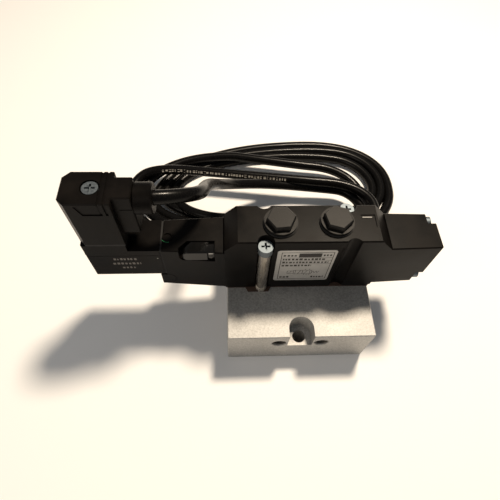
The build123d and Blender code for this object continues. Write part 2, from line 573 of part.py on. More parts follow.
with BuildPart() as solenoid_screws:
    for y, z in SOLENOID_SCREWS:
        bar_x((HOUSING_X[0] + 0.1, SCREW_SEAT_X), 2.0, y, z)
        bar_x((SCREW_SEAT_X, -59.0), 1.2, y, z)
        block((HOUSING_X[0], HOUSING_X[0] + 0.7), (y - 1.5, y + 1.5), (z - 0.3, z + 0.3), Mode.SUBTRACT)
solenoid_screws.part.label = "solenoid_screws"
export_step(solenoid_screws.part, "parts/solenoid_screws.step")

with BuildPart() as terminal_insert:
    bar_z((62.3, PLATFORM_TOP), 2.35, POLE_X, 0)
    bar_z((62.3, PLATFORM_TOP), 1.55, POLE_X, 0, Mode.SUBTRACT)
terminal_insert.part.label = "terminal_insert"
export_step(terminal_insert.part, "parts/terminal_insert.step")

BLADE_Z = (62.05, 76.0)
BLADE_W_FIT, BLADE_T_FIT = BLADE_W - 0.04, BLADE_T - 0.04
with BuildPart() as terminal_blades:
    for y in (-POLE_Y, POLE_Y):
        pole_x = (POLE_X - BLADE_W_FIT / 2, POLE_X + BLADE_W_FIT / 2)
        block(pole_x, (y - BLADE_T_FIT / 2, y + BLADE_T_FIT / 2), BLADE_Z)
    earth_x = (EARTH_X - BLADE_T_FIT / 2, EARTH_X + BLADE_T_FIT / 2)
    block(earth_x, (-BLADE_W_FIT / 2, BLADE_W_FIT / 2), BLADE_Z)
terminal_blades.part.label = "terminal_blades"
export_step(terminal_blades.part, "parts/terminal_blades.step")

# ---------------------------------------------------------------- plug connector
BLADES = ((POLE_X, -POLE_Y, BLADE_W, BLADE_T), (POLE_X, POLE_Y, BLADE_W, BLADE_T), (EARTH_X, 0, BLADE_T, BLADE_W))


def blade_columns(grow, z):
    """Rectangular column round each terminal blade, grown by the given margin, cut out."""
    for x, y, long_x, long_y in BLADES:
        half_x, half_y = long_x / 2 + grow, long_y / 2 + grow
        block((x - half_x, x + half_x), (y - half_y, y + half_y), z, Mode.SUBTRACT)


with BuildPart() as plug_gasket:
    block((PLUG_X[0] + 0.1, PLUG_X[1] - 0.2), (-HOUSING_SIDE, HOUSING_SIDE), (PLATFORM_TOP, PLUG_BOTTOM))
    chamfer(plug_gasket.edges().filter_by(Axis.Z).sort_by(Axis.X)[0:2], 2.6)
    bar_z((PLATFORM_TOP, PLUG_BOTTOM), 1.6, POLE_X, 0, Mode.SUBTRACT)
    blade_columns(0.1, (PLATFORM_TOP, PLUG_BOTTOM))
plug_gasket.part.label = "plug_gasket"
export_step(plug_gasket.part, "parts/plug_gasket.step")

with BuildPart() as plug_housing:
    block(PLUG_X, (-PLUG_SIDE, PLUG_SIDE - 0.1), (PLUG_BOTTOM, PLUG_TOP))
    chamfer(plug_housing.edges().filter_by(Axis.Z).sort_by(Axis.X)[0:2], 2.8)
    fillet(plug_housing.edges().filter_by(Axis.Z).sort_by(Axis.X)[-2:], 0.6)
    block(NECK_X, (-NECK_SIDE, NECK_SIDE), (NECK_BOTTOM, PLUG_TOP))
    fillet(plug_housing.edges().filter_by(Axis.Z).sort_by(Axis.X)[-2:], 0.8)
    chamfer(plug_housing.edges().group_by(Axis.Z)[-1], 0.5)
    for side in (-1, 1):
        face_y = side * PLUG_SIDE
        panel_y = sorted((face_y - side * 0.35, face_y + side))
        with BuildSketch(Plane.XZ.offset(-panel_y[0])):
            with BuildLine():
                Polyline(
                    (LID_PANEL_X[0] - 0.4, PLUG_TOP - 1.3),
                    (LID_PANEL_X[0] + 1.6, LID_BOTTOM),
                    (LID_PANEL_X[1], LID_BOTTOM),
                    (LID_PANEL_X[1], PLUG_TOP - 1.3),
                    close=True,
                )
            make_face()
        extrude(amount=panel_y[0] - panel_y[1], mode=Mode.SUBTRACT)
        for groove_x in LID_GROOVES:
            groove_y = sorted((face_y - side * LID_GROOVE_DEPTH, face_y + side))
            block(groove_x, groove_y, (LID_BOTTOM, PLUG_TOP), Mode.SUBTRACT)
        step_y = sorted((side * (NECK_SIDE - 0.25), side * (NECK_SIDE + 1)))
        block((-74.7, NECK_X[1] + 0.1), step_y, (LID_BOTTOM - 0.5, LID_BOTTOM), Mode.SUBTRACT)
    for groove_x in LID_GROOVES:
        lid_top = (PLUG_TOP - LID_GROOVE_DEPTH, PLUG_TOP + 1)
        block(groove_x, (-PLUG_SIDE - 1, PLUG_SIDE + 1), lid_top, Mode.SUBTRACT)
    block((-94.2, -78.2), (-6.4, 6.4), (PLUG_BOTTOM, 92.6), Mode.SUBTRACT)
    bar_z((92.6, PLUG_TOP), 1.7, POLE_X, 0, Mode.SUBTRACT)
    bar_z((93.6, PLUG_TOP), 3.6, POLE_X, 0, Mode.SUBTRACT)
    bar_x((-78.2, NECK_X[1]), 3.3, 0, GLAND_Z, Mode.SUBTRACT)
    bar_x((-76.2, NECK_X[1]), 4.65, 0, GLAND_Z, Mode.SUBTRACT)
plug_housing.part.label = "plug_housing"
export_step(plug_housing.part, "parts/plug_housing.step")

with BuildPart() as contact_block:
    block((-94.0, -78.4), (-6.2, 6.2), (68.9, 80.0))
    bar_z((68.9, 80.0), 1.7, POLE_X, 0, Mode.SUBTRACT)
    blade_columns(0.6, (68.9, 78.0))
contact_block.part.label = "contact_block"
export_step(contact_block.part, "parts/contact_block.step")

with BuildPart() as terminal_sockets:
    for x, y, long_x, long_y in BLADES:
        half_x, half_y = long_x / 2 + 0.55, long_y / 2 + 0.55
        block((x - half_x, x + half_x), (y - half_y, y + half_y), (69.4, 78.0))
    blade_columns(0.05, (69.4, 76.2))
terminal_sockets.part.label = "terminal_sockets"
export_step(terminal_sockets.part, "parts/terminal_sockets.step")

CORE_PATHS = (
    ((-77.2, -1.15, 88.3), (POLE_X, -POLE_Y, 88.3), (POLE_X, -POLE_Y, 80.0)),
    ((-77.2, 1.15, 88.3), (POLE_X, POLE_Y, 88.3), (POLE_X, POLE_Y, 80.0)),
    ((-77.2, 0.0, 90.4), (EARTH_X, 4.4, 90.4), (EARTH_X, 4.4, 80.0)),
)
with BuildPart() as connector_cores:
    for points in CORE_PATHS:
        with BuildLine() as core_path:
            FilletPolyline(*points, radius=1.6)
        with BuildSketch(Plane(origin=core_path.line @ 0, z_dir=core_path.line % 0)) as core_section:
            Circle(0.7)
        sweep(core_section.sketch, path=core_path.line)
connector_cores.part.label = "connector_cores"
export_step(connector_cores.part, "parts/connector_cores.step")

with BuildPart() as plug_screw:
    bar_z((93.6, 95.2), 3.05, POLE_X, 0)
    bar_z((63.5, 93.6), 1.5, POLE_X, 0)
    block((POLE_X - 1.9, POLE_X + 1.9), (-0.4, 0.4), (94.2, 95.2), Mode.SUBTRACT)
    block((POLE_X - 0.4, POLE_X + 0.4), (-1.9, 1.9), (94.2, 95.2), Mode.SUBTRACT)
plug_screw.part.label = "plug_screw"
export_step(plug_screw.part, "parts/plug_screw.step")

# ---------------------------------------------------------------- cable gland
with BuildPart() as gland_nut:
    bar_x(GLAND_X, GLAND_R, 0, GLAND_Z)
    chamfer(gland_nut.edges().filter_by(GeomType.CIRCLE), 0.5)
    bar_x((-74.0, GLAND_X[0]), 4.6, 0, GLAND_Z)
    bar_x((-74.0, GLAND_X[1]), 3.1, 0, GLAND_Z, Mode.SUBTRACT)
gland_nut.part.label = "gland_nut"
export_step(gland_nut.part, "parts/gland_nut.step")

with BuildPart() as gland_washer:
    ring_x((-74.3, -74.0), 4.5, 3.1, 0, GLAND_Z)
gland_washer.part.label = "gland_washer"
export_step(gland_washer.part, "parts/gland_washer.step")

with BuildPart() as gland_seal:
    ring_x((-76.2, -74.3), 4.5, 3.05, 0, GLAND_Z)
gland_seal.part.label = "gland_seal"
export_step(gland_seal.part, "parts/gland_seal.step")

# ---------------------------------------------------------------- lead
with BuildPart() as cable_lead:
    lead_length = tube(LEAD_ROUTE, CABLE_R, "cable_lead")
cable_lead.part.label = "cable_lead"
export_step(cable_lead.part, "parts/cable_lead.step")

with BuildPart() as cable_coil:
    with BuildSketch() as coil_plan:
        with Locations(COIL_CENTRE):
            Ellipse(*COIL_OUTER)
            Ellipse(*COIL_INNER, mode=Mode.SUBTRACT)
    extrude(amount=COIL_HEIGHT)
    chamfer(cable_coil.edges(), 4.0)
cable_coil.part.label = "cable_coil"
export_step(cable_coil.part, "parts/cable_coil.step")

with BuildPart() as cable_tail:
    tail_length = tube(TAIL_ROUTE, CABLE_R, "cable_tail")
cable_tail.part.label = "cable_tail"
export_step(cable_tail.part, "parts/cable_tail.step")

for solid, length in ((cable_lead, lead_length), (cable_tail, tail_length)):
    section_volume = math.pi * CABLE_R**2 * length
    print(solid.part.label, "volume", round(solid.part.volume, 1), "section x length", round(section_volume, 1))

# Three cores fan out from the stripped end of the sheath, each with a crimped ferrule.
SHEATH_END = Vector(*TAIL_ROUTE[-1])
CORE_TIPS = (Vector(-39, 34.5, WIRE_R), Vector(-42, 29.2, WIRE_R), Vector(-38, 26.9, WIRE_R))
CORE_STARTS = (Vector(0, 1.1, -0.8), Vector(0, 0.0, 1.1), Vector(0, -1.1, -0.8))
with BuildPart() as tail_cores:
    for offset, tip in zip(CORE_STARTS, CORE_TIPS):
        start = SHEATH_END + offset + Vector(-0.5, 0, 0)
        along = tip - start
        with BuildSketch(Plane(origin=start, z_dir=along)):
            Circle(WIRE_R)
        extrude(amount=along.length)
tail_cores.part.label = "tail_cores"
export_step(tail_cores.part, "parts/tail_cores.step")

with BuildPart() as core_ferrules:
    for offset, tip in zip(CORE_STARTS, CORE_TIPS):
        along = tip - SHEATH_END - offset
        flat = Vector(along.X, along.Y, 0).normalized()
        with BuildSketch(Plane(origin=tip + flat * 0.3 + Vector(0, 0, FERRULE_R - WIRE_R), z_dir=flat)):
            Circle(FERRULE_R)
        extrude(amount=8.0)
core_ferrules.part.label = "core_ferrules"
export_step(core_ferrules.part, "parts/core_ferrules.step")
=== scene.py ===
"""Looks of the solenoid valve on its sub-base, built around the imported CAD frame."""
import json
import math
import random

import bmesh
import bpy
from mathutils import Matrix, Vector


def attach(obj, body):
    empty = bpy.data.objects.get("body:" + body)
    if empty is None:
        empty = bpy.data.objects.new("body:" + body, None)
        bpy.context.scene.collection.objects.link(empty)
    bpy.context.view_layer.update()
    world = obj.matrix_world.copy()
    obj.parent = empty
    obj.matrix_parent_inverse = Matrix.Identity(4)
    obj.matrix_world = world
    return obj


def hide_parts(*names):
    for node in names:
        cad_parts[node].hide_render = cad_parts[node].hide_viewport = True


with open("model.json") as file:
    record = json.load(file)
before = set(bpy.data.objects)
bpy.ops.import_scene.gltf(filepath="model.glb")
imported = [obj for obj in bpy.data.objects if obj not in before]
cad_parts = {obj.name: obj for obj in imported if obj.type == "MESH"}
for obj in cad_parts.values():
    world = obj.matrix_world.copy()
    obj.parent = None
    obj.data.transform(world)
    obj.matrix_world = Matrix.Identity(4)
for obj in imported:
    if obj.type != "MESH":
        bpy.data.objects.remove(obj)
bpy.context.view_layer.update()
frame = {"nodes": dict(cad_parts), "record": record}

MM = 0.001
BODY = "valve"


def metres(points):
    """Points given in millimetres, as vectors in metres."""
    return [Vector(p) * MM for p in points]


# ---------------------------------------------------------------- camera
CAMERA_AT = (-33.3, -98.0, 214.0)
AZIMUTH, ELEVATION, ROLL = 5.26, 59.08, 3.91
LENS_MM, SENSOR_MM, CLIP_START = 29.5, 36.0, 0.01


def make_camera():
    """Camera standing where the photograph was taken from, rolled by a few degrees."""
    az, el, roll = (math.radians(a) for a in (AZIMUTH, ELEVATION, ROLL))
    ahead = Vector((math.sin(az) * math.cos(el), math.cos(az) * math.cos(el), -math.sin(el)))
    level = Vector((math.cos(az), -math.sin(az), 0))
    upright = level.cross(ahead)
    right = math.cos(roll) * level + math.sin(roll) * upright
    up = -math.sin(roll) * level + math.cos(roll) * upright
    data = bpy.data.cameras.new("camera")
    data.lens, data.sensor_width, data.clip_start = LENS_MM, SENSOR_MM, CLIP_START
    camera = bpy.data.objects.new("camera", data)
    turn = Matrix((right, up, -ahead)).transposed().to_4x4()
    camera.matrix_world = Matrix.Translation(Vector(CAMERA_AT) * MM) @ turn
    bpy.context.scene.collection.objects.link(camera)
    bpy.context.scene.camera = camera


make_camera()

# ---------------------------------------------------------------- lead
CABLE_R = 3.0
LEAD_ROUTE = [(-77, 0, 89), (-45, 0, 89), (-45, 33, 58), (-39, 56, 30), (-10, 71, 13), (32, 69, 9.5)]
TAIL_ROUTE = [(36, 40, 3.1), (12, 37, 3.2), (-16, 32, 3.1)]
STEPS = 4
CURVE_ORDER, CURVE_STEPS, RING_STEPS = 3, 8, 6
# Each turn runs right end, front, left end, back, shoulder; (x, y, z) of those five, then how
# square its right front, left back and right back quarters are. From the back the strand runs
# straight to the shoulder, where it starts to bend round to the right end.
TURNS = [
    ((50, 48, 9.5), (-6, 29, 5), (-95, 61, 12), (-70, 81, 15.5), (20, 70.5, 15.5), 0.5, 0.6, 0.9),
    ((55, 50, 15.5), (-6, 33.5, 10.5), (-89, 66, 8.5), (-34, 98, 9.5), (14, 91, 8), 0.45, 0.95, 0.85),
    ((53, 67, 3.5), (0, 45, 9), (-70, 73, 3), (10, 104, 3), (12, 104, 3), 0.6, 1.0, 0.6),
    ((62, 75, 3), (0, 49.8, 3), (-76.5, 71, 3), (20, 109.5, 3), (22, 109.5, 3), 0.7, 1.0, 0.7),
    ((68, 77, 3), (0, 43.5, 3), (-83, 66, 3), (18, 114.5, 3), (20, 114.5, 3), 0.7, 1.0, 0.85),
]
LAST_END = [(73, 80, 3), (71, 62, 3), (58, 47, 3)]
# How square every left front quarter is, and the shortest straight run that gets its own points.
LEFT_FRONT = 0.62
SHORT_RUN = 5.0


def quarter(start, stop, square, leaving_end):
    """Quarter of a turn between an end of the oval and its front or back, without its stop.

    A lower square makes the quarter fuller. The height eases from start to stop.
    """
    end, side = (start, stop) if leaving_end else (stop, start)
    points = []
    for k in range(STEPS):
        t = math.pi / 2 * k / STEPS
        across, along = (math.cos(t), math.sin(t)) if leaving_end else (math.sin(t), math.cos(t))
        x = side[0] + (end[0] - side[0]) * across**square
        y = end[1] + (side[1] - end[1]) * along
        rise = (1 - math.cos(2 * t)) / 2
        points.append((x, y, start[2] + (stop[2] - start[2]) * rise))
    return points


def coil_points():
    """All turns, entered from the lead by a round quarter."""
    points = quarter(LEAD_ROUTE[-1], TURNS[0][0], 1.0, False)[1:]
    ends = [turn[0] for turn in TURNS[1:]] + [LAST_END[0]]
    for (right, front, left, back, shoulder, hook, left_back, right_back), following in zip(TURNS, ends):
        points += quarter(right, front, hook, True) + quarter(front, left, LEFT_FRONT, False)
        points += quarter(left, back, left_back, True)
        run = Vector(shoulder) - Vector(back)
        if run.length > SHORT_RUN:
            points += [tuple(Vector(back) + run * k / STEPS) for k in range(STEPS)]
        points += quarter(shoulder, following, right_back, False)
    return points


def nurbs(name, points, radius):
    """Round tube along one open NURBS spline of order 3.

    The radius sits on the points, under a bevel of one metre, so that the curve's own box fits.
    """
    curve = bpy.data.curves.new(name, "CURVE")
    curve.dimensions = "3D"
    spline = curve.splines.new("NURBS")
    spline.points.add(len(points) - 1)
    for slot, p in zip(spline.points, points):
        slot.co, slot.radius = (*p, 1.0), radius
    spline.order_u = CURVE_ORDER
    spline.use_endpoint_u = True
    curve.resolution_u = CURVE_STEPS
    curve.bevel_depth, curve.bevel_resolution = 1.0, RING_STEPS
    curve.use_fill_caps = True
    obj = bpy.data.objects.new(name, curve)
    bpy.context.scene.collection.objects.link(obj)
    return obj


def centreline(obj):
    """Points along a curve object's spline."""
    bare = obj.copy()
    bare.data = obj.data.copy()
    bare.data.bevel_depth = 0
    bpy.context.scene.collection.objects.link(bare)
    bpy.context.view_layer.update()
    mesh = bpy.data.meshes.new_from_object(bare.evaluated_get(bpy.context.evaluated_depsgraph_get()))
    line = [v.co.copy() for v in mesh.vertices]
    bpy.data.objects.remove(bare)
    bpy.data.meshes.remove(mesh)
    return line


lead = nurbs("lead", metres(LEAD_ROUTE + coil_points() + LAST_END + TAIL_ROUTE), CABLE_R * MM)
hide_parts("cable_lead", "cable_coil", "cable_tail")
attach(lead, BODY)
lead_line = centreline(lead)


# ---------------------------------------------------------------- materials
NOISE_SPAN = (0.3, 0.7)
COLOUR_A, COLOUR_B, COLOUR_OUT = 6, 7, 2  # sockets of the mix node when it mixes colours


class Surface:
    """A Principled material with helpers for the patterns put on it."""

    def __init__(self, name, roughness, metallic=0.0, coat=0.0, coat_roughness=0.1, specular=0.5):
        self.material = bpy.data.materials.new(name)
        self.material.use_nodes = True
        self.tree = self.material.node_tree
        self.tree.nodes.clear()
        output = self.tree.nodes.new("ShaderNodeOutputMaterial")
        self.shader = self.tree.nodes.new("ShaderNodeBsdfPrincipled")
        self.link(self.shader.outputs["BSDF"], output.inputs["Surface"])
        self.shader.inputs["Metallic"].default_value = metallic
        self.shader.inputs["Roughness"].default_value = roughness
        self.shader.inputs["Coat Weight"].default_value = coat
        self.shader.inputs["Coat Roughness"].default_value = coat_roughness
        self.shader.inputs["Specular IOR Level"].default_value = specular
        self.place = self.tree.nodes.new("ShaderNodeTexCoord").outputs["Object"]
        self.height = None

    def link(self, output, socket):
        self.tree.links.new(output, socket)

    def noise(self, scale, stretch=(1, 1, 1), detail=3.0, roughness=0.55):
        """Noise with `scale` features a metre, drawn out along each axis by stretch."""
        mapping = self.tree.nodes.new("ShaderNodeMapping")
        mapping.inputs["Scale"].default_value = tuple(1.0 / s for s in stretch)
        self.link(self.place, mapping.inputs["Vector"])
        node = self.tree.nodes.new("ShaderNodeTexNoise")
        node.inputs["Scale"].default_value = scale
        node.inputs["Detail"].default_value = detail
        node.inputs["Roughness"].default_value = roughness
        self.link(mapping.outputs["Vector"], node.inputs["Vector"])
        return node.outputs["Fac"]

    def waves(self, scale, axis="X", distortion=0.0):
        node = self.tree.nodes.new("ShaderNodeTexWave")
        node.wave_type = "BANDS"
        node.bands_direction = axis
        node.inputs["Scale"].default_value = scale
        node.inputs["Distortion"].default_value = distortion
        self.link(self.place, node.inputs["Vector"])
        return node.outputs["Fac"]

    def ramp(self, value, stops):
        """Colour looked up from a value; stops are (position, colour)."""
        node = self.tree.nodes.new("ShaderNodeValToRGB")
        ramp = node.color_ramp
        while len(ramp.elements) < len(stops):
            ramp.elements.new(0.5)
        for element, (position, colour) in zip(ramp.elements, stops):
            element.position = position
            element.color = (*colour, 1.0)
        self.link(value, node.inputs["Fac"])
        return node.outputs["Color"]

    def math(self, operation, a, b=None):
        node = self.tree.nodes.new("ShaderNodeMath")
        node.operation = operation
        for socket, value in zip(node.inputs, (a, b)):
            if value is None:
                continue
            if isinstance(value, (int, float)):
                socket.default_value = value
            else:
                self.link(value, socket)
        return node.outputs["Value"]

    def span(self, value, low, high):
        """Stretches a noise's usual range to low..high."""
        node = self.tree.nodes.new("ShaderNodeMapRange")
        node.inputs["From Min"].default_value = NOISE_SPAN[0]
        node.inputs["From Max"].default_value = NOISE_SPAN[1]
        node.inputs["To Min"].default_value = low
        node.inputs["To Max"].default_value = high
        self.link(value, node.inputs["Value"])
        return node.outputs["Result"]

    def mix(self, factor, a, b, blend="MIX"):
        node = self.tree.nodes.new("ShaderNodeMix")
        node.data_type, node.blend_type = "RGBA", blend
        if isinstance(factor, (int, float)):
            node.inputs["Factor"].default_value = factor
        else:
            self.link(factor, node.inputs["Factor"])
        for socket, value in zip((node.inputs[COLOUR_A], node.inputs[COLOUR_B]), (a, b)):
            if isinstance(value, tuple):
                socket.default_value = (*value, 1.0)
            else:
                self.link(value, socket)
        return node.outputs[COLOUR_OUT]

    def axis(self, name):
        node = self.tree.nodes.new("ShaderNodeSeparateXYZ")
        self.link(self.place, node.inputs["Vector"])
        return node.outputs[name]

    def colour(self, value):
        self.link(value, self.shader.inputs["Base Color"])

    def rough(self, value, low, high):
        self.link(self.span(value, low, high), self.shader.inputs["Roughness"])

    def bump(self, value, depth):
        """Adds relief; depth is in metres from a low to a high of the pattern."""
        node = self.tree.nodes.new("ShaderNodeBump")
        node.inputs["Strength"].default_value = 1.0
        node.inputs["Distance"].default_value = depth
        self.link(value, node.inputs["Height"])
        if self.height is not None:
            self.link(self.height, node.inputs["Normal"])
        self.height = node.outputs["Normal"]
        self.link(self.height, self.shader.inputs["Normal"])


def moulded(name, dark, light, rough, grain=2600, depth=0.00002, coat=0.0):
    """Moulded or coated black part: fine spark-eroded grain, faint rubbed patches."""
    s = Surface(name, 0.5, coat=coat, coat_roughness=0.15, specular=0.06)
    patches = s.noise(90, detail=5)
    fine = s.noise(grain, detail=2)
    s.colour(s.ramp(patches, [(0.35, dark), (0.68, light)]))
    s.rough(patches, *rough)
    s.bump(fine, depth)
    s.bump(s.noise(260), 0.00001)
    return s.material


def metal(name, dark, light, rough, stretch=(1, 1, 1), scale=1800, depth=0.000008, patch=120):
    """Bare or plated metal with drawn or turned marks and a slightly clouded finish."""
    s = Surface(name, 0.3, metallic=1.0)
    marks = s.noise(scale, stretch, detail=4)
    clouds = s.noise(patch, detail=4)
    stops = [(0.3, dark), (0.7, light)]
    s.colour(s.mix(0.5, s.ramp(clouds, stops), s.ramp(marks, stops)))
    s.rough(marks, *rough)
    s.bump(marks, depth)
    return s.material


def rubber(name, dark, light, depth=0.00004):
    """Dull rubber with a rough skin."""
    s = Surface(name, 0.8, specular=0.3)
    clouds = s.noise(500, detail=6, roughness=0.7)
    s.colour(s.ramp(clouds, [(0.3, dark), (0.75, light)]))
    s.rough(clouds, 0.65, 0.9)
    s.bump(s.noise(1800, detail=4), depth)
    return s.material


def aluminium():
    """Satin block: fine speckle, faint saw lines along the faces, cutter marks across them."""
    s = Surface("aluminium", 0.5, metallic=0.6)
    speckle = s.noise(1250, detail=4, roughness=0.75)
    clouds = s.noise(55, detail=6)
    saw = s.noise(1500, (14, 14, 1), detail=2)
    across = s.noise(900, (1, 9, 1), detail=2)
    tone = s.ramp(clouds, [(0.3, (0.36, 0.35, 0.33)), (0.7, (0.47, 0.46, 0.44))])
    pit, plain, glint = (0.20, 0.195, 0.185), (0.42, 0.41, 0.39), (0.62, 0.61, 0.59)
    dots = s.ramp(speckle, [(0.36, pit), (0.5, plain), (0.66, glint)])
    s.colour(s.mix(0.5, tone, dots))
    s.rough(s.math("ADD", s.math("MULTIPLY", speckle, 0.6), s.math("MULTIPLY", clouds, 0.4)), 0.5, 0.66)
    s.bump(speckle, 0.00002)
    s.bump(saw, 0.000012)
    s.bump(across, 0.000006)
    return s.material


def label_foil():
    """Silver foil label, brushed along the valve and slightly clouded."""
    s = Surface("label_foil", 0.35, metallic=0.4)
    brushed = s.noise(2600, (9, 1, 1), detail=3)
    clouds = s.noise(150, detail=3)
    s.colour(s.mix(0.4, s.ramp(clouds, [(0.3, (0.40, 0.39, 0.37)), (0.7, (0.52, 0.51, 0.49))]),
                   s.ramp(brushed, [(0.3, (0.36, 0.35, 0.34)), (0.7, (0.56, 0.55, 0.53))])))
    s.rough(brushed, 0.32, 0.45)
    s.bump(brushed, 0.000004)
    return s.material


def cable_sheath():
    """Glossy PVC: smooth skin with long shallow waves from the cores, and dust."""
    s = Surface("cable_sheath", 0.25, coat=0.05, coat_roughness=0.06, specular=0.1)
    waves = s.noise(110, detail=2)
    dust = s.noise(1400, detail=6, roughness=0.75)
    s.colour(s.ramp(dust, [(0.45, (0.003, 0.0027, 0.0025)), (0.85, (0.009, 0.008, 0.007))]))
    s.rough(dust, 0.2, 0.34)
    s.bump(waves, 0.00006)
    s.bump(dust, 0.000004)
    return s.material


def plug_metal():
    """Blackened hexagon plugs, grainy, with lighter rubbed spots on top."""
    s = Surface("plug_metal", 0.5, metallic=0.3, specular=0.25)
    grain = s.noise(1600, detail=5, roughness=0.7)
    black, grey, rubbed = (0.005, 0.0045, 0.004), (0.012, 0.011, 0.010), (0.09, 0.08, 0.07)
    s.colour(s.ramp(grain, [(0.3, black), (0.6, grey), (0.85, rubbed)]))
    s.rough(grain, 0.38, 0.6)
    s.bump(grain, 0.00004)
    return s.material


# The bare cores start at SHEATH_END_X and slope by CORE_LEAN in Y for each metre of X. There the
# two limits part the brown and the green one from the blue one. Left of TAIL_FROM_X are the
# cores inside the plug, all blue.
TAIL_FROM_X, SHEATH_END_X, CORE_LEAN = -0.06, -0.0165, 0.151
FIRST_CORE_Y, THIRD_CORE_Y = 0.0335, 0.03145


def core_insulation():
    """Three insulated cores side by side: brown, blue and green with yellow stripes."""
    s = Surface("core_insulation", 0.4)
    tail = s.math("GREATER_THAN", s.axis("X"), TAIL_FROM_X)
    y = s.axis("Y")
    lean = s.math("MULTIPLY", s.math("ADD", s.axis("X"), -SHEATH_END_X), CORE_LEAN)
    first = s.math("GREATER_THAN", y, s.math("ADD", lean, FIRST_CORE_Y))
    third = s.math("LESS_THAN", y, s.math("ADD", lean, THIRD_CORE_Y))
    fleck = s.noise(1500, detail=2)
    blue = s.ramp(fleck, [(0.3, (0.02, 0.07, 0.27)), (0.7, (0.03, 0.10, 0.34))])
    brown = s.ramp(fleck, [(0.3, (0.11, 0.045, 0.02)), (0.7, (0.15, 0.06, 0.025))])
    green = s.ramp(s.waves(90), [(0.5, (0.45, 0.42, 0.03)), (0.55, (0.03, 0.22, 0.06))])
    blue_or_brown = s.mix(s.math("MULTIPLY", first, tail), blue, brown)
    s.colour(s.mix(s.math("MULTIPLY", third, tail), blue_or_brown, green))
    s.bump(fleck, 0.00001)
    return s.material


def winding():
    """Enamelled copper wire wound in close turns, its colour darker in the valleys between turns as
    painted shade and lighter on their crowns as painted highlight.
    """
    s = Surface("winding", 0.35, metallic=0.8)
    turns = s.waves(900, "X", 0.3)
    # Painted shade and highlight: the colour is dark where the bands dip between turns and light on
    # their crowns.
    s.colour(s.ramp(turns, [(0.2, (0.22, 0.07, 0.03)), (0.8, (0.62, 0.27, 0.12))]))
    s.bump(turns, 0.00008)
    return s.material


BLACK, WORN_BLACK = (0.003, 0.0026, 0.0023), (0.0075, 0.006, 0.005)
GLOSS_BLACK, WORN_GLOSS = (0.004, 0.004, 0.004), (0.008, 0.0075, 0.0075)
MATERIALS = {
    "cast_aluminium": aluminium(),
    "gasket_rubber": rubber("gasket_rubber", (0.028, 0.015, 0.010), (0.085, 0.052, 0.036), 0.0001),
    "black_die_cast": moulded("black_die_cast", BLACK, WORN_BLACK, (0.3, 0.42), 2200, 0.00003),
    "black_plastic": moulded("black_plastic", BLACK, WORN_BLACK, (0.32, 0.44), 3000, 0.00002),
    "gloss_black_plastic": moulded(
        "gloss_black_plastic", GLOSS_BLACK, WORN_GLOSS, (0.12, 0.22), 1500, 0.000004, 0.3
    ),
    "zinc_steel": metal("zinc_steel", (0.09, 0.105, 0.12), (0.20, 0.23, 0.25), (0.46, 0.6)),
    "sleeve_steel": metal(
        "sleeve_steel", (0.30, 0.27, 0.23), (0.58, 0.54, 0.48), (0.22, 0.36), (1, 1, 16)
    ),
    "label_foil": label_foil(),
    "plug_metal": plug_metal(),
    "seal_rubber": rubber("seal_rubber", (0.012, 0.012, 0.012), (0.03, 0.028, 0.027)),
    "anodised_spool": metal(
        "anodised_spool", (0.45, 0.46, 0.48), (0.66, 0.66, 0.67), (0.2, 0.32), (1, 8, 8)
    ),
    "piston_plastic": moulded(
        "piston_plastic", (0.62, 0.60, 0.54), (0.75, 0.73, 0.67), (0.35, 0.45)
    ),
    "spring_steel": metal(
        "spring_steel", (0.34, 0.34, 0.36), (0.56, 0.56, 0.58), (0.2, 0.35), scale=2600
    ),
    "soft_iron": metal("soft_iron", (0.26, 0.26, 0.27), (0.45, 0.45, 0.46), (0.25, 0.4), (1, 6, 6)),
    "brass": metal("brass", (0.58, 0.40, 0.15), (0.80, 0.62, 0.30), (0.2, 0.32)),
    "tinned_contacts": metal(
        "tinned_contacts", (0.55, 0.54, 0.48), (0.76, 0.74, 0.68), (0.22, 0.36)
    ),
    "winding_wire": winding(),
    "core_insulation": core_insulation(),
    "ferrule_tin": metal("ferrule_tin", (0.50, 0.50, 0.49), (0.76, 0.76, 0.74), (0.2, 0.35)),
    "cable_sheath": cable_sheath(),
}
for part in frame["record"]["subparts"]:
    node = frame["nodes"][part["node"]]
    for slot in node.material_slots:
        slot.material = MATERIALS[part["material_slot"]]
lead.data.materials.append(MATERIALS["cable_sheath"])


FADE = 0.7


def printed(name, colour):
    """Flat ink, slightly uneven."""
    s = Surface(name, 0.5, specular=0.3)
    wear = s.noise(3500, detail=4)
    faded = tuple(c * FADE for c in colour)
    s.colour(s.ramp(wear, [(0.35, faded), (0.6, colour)]))
    s.rough(wear, 0.4, 0.6)
    return s.material


DARK_INK = printed("dark_ink", (0.022, 0.020, 0.019))
GREY_INK = printed("grey_ink", (0.16, 0.145, 0.13))
# Pale ink; on the pad's strips it is painted highlight.
PALE_INK_AND_HIGHLIGHT = printed("pale_ink_and_highlight", (0.62, 0.59, 0.55))
WORN_INK = printed("worn_ink", (0.40, 0.37, 0.32))
# The port threads get this near-black colour as painted shade for the dark inside of the ports.
SHADED_PORT_THREAD = metal("shaded_port_thread", (0.035, 0.032, 0.028), (0.10, 0.09, 0.08), (0.3, 0.45))
GREEN_INK = printed("green_ink", (0.05, 0.36, 0.13))


# ---------------------------------------------------------------- detail pieces
def mesh_piece(name, bm, material, body=BODY):
    """Finishes a bmesh as a named piece that rides on a body."""
    bmesh.ops.recalc_face_normals(bm, faces=bm.faces)
    mesh = bpy.data.meshes.new(name)
    bm.to_mesh(mesh)
    bm.free()
    mesh.materials.append(material)
    obj = bpy.data.objects.new(name, mesh)
    bpy.context.scene.collection.objects.link(obj)
    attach(obj, body)
    return obj


